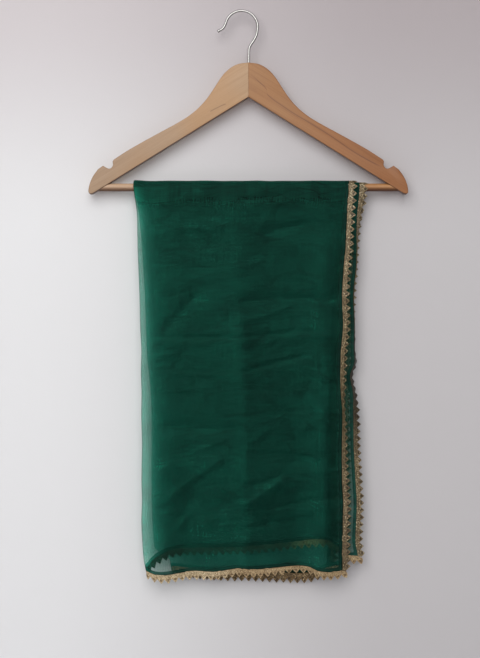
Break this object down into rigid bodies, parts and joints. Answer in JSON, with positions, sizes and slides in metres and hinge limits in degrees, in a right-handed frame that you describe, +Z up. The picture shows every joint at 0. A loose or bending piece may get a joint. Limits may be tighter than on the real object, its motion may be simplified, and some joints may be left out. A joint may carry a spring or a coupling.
{
  "type": "dupatta stole on a wooden hanger",
  "caption": "Sheer dark green stole edged with pointed gold lace, folded lengthwise and hung over the bar of a wooden hanger with a wire hook.",
  "frame": {"origin": "under the top of the hook's round, where the wire rests on a peg or rail", "axes": "+Z up, the stole's front faces -Y, its fold is towards -X and its free edges towards +X"},
  "size_m": [0.4452, 0.035, 0.8034],
  "materials": {
    "steel": "polished wire",
    "wood": "satin varnish over brown wood",
    "cloth": "sheer woven cloth with a soft sheen",
    "lace": "metallic gold lace with small sparkles"
  },
  "bodies": {
    "root": {"hanger_hook": "steel", "hanger_arm_left": "wood", "hanger_arm_right": "wood", "hanger_bar": "wood", "stole_front_fall": "cloth", "stole_back_fall": "cloth", "lace_outer_edge": "lace", "lace_inner_edge": "lace", "lace_front_end": "lace", "lace_back_end": "lace"}
  },
  "joints": []
}
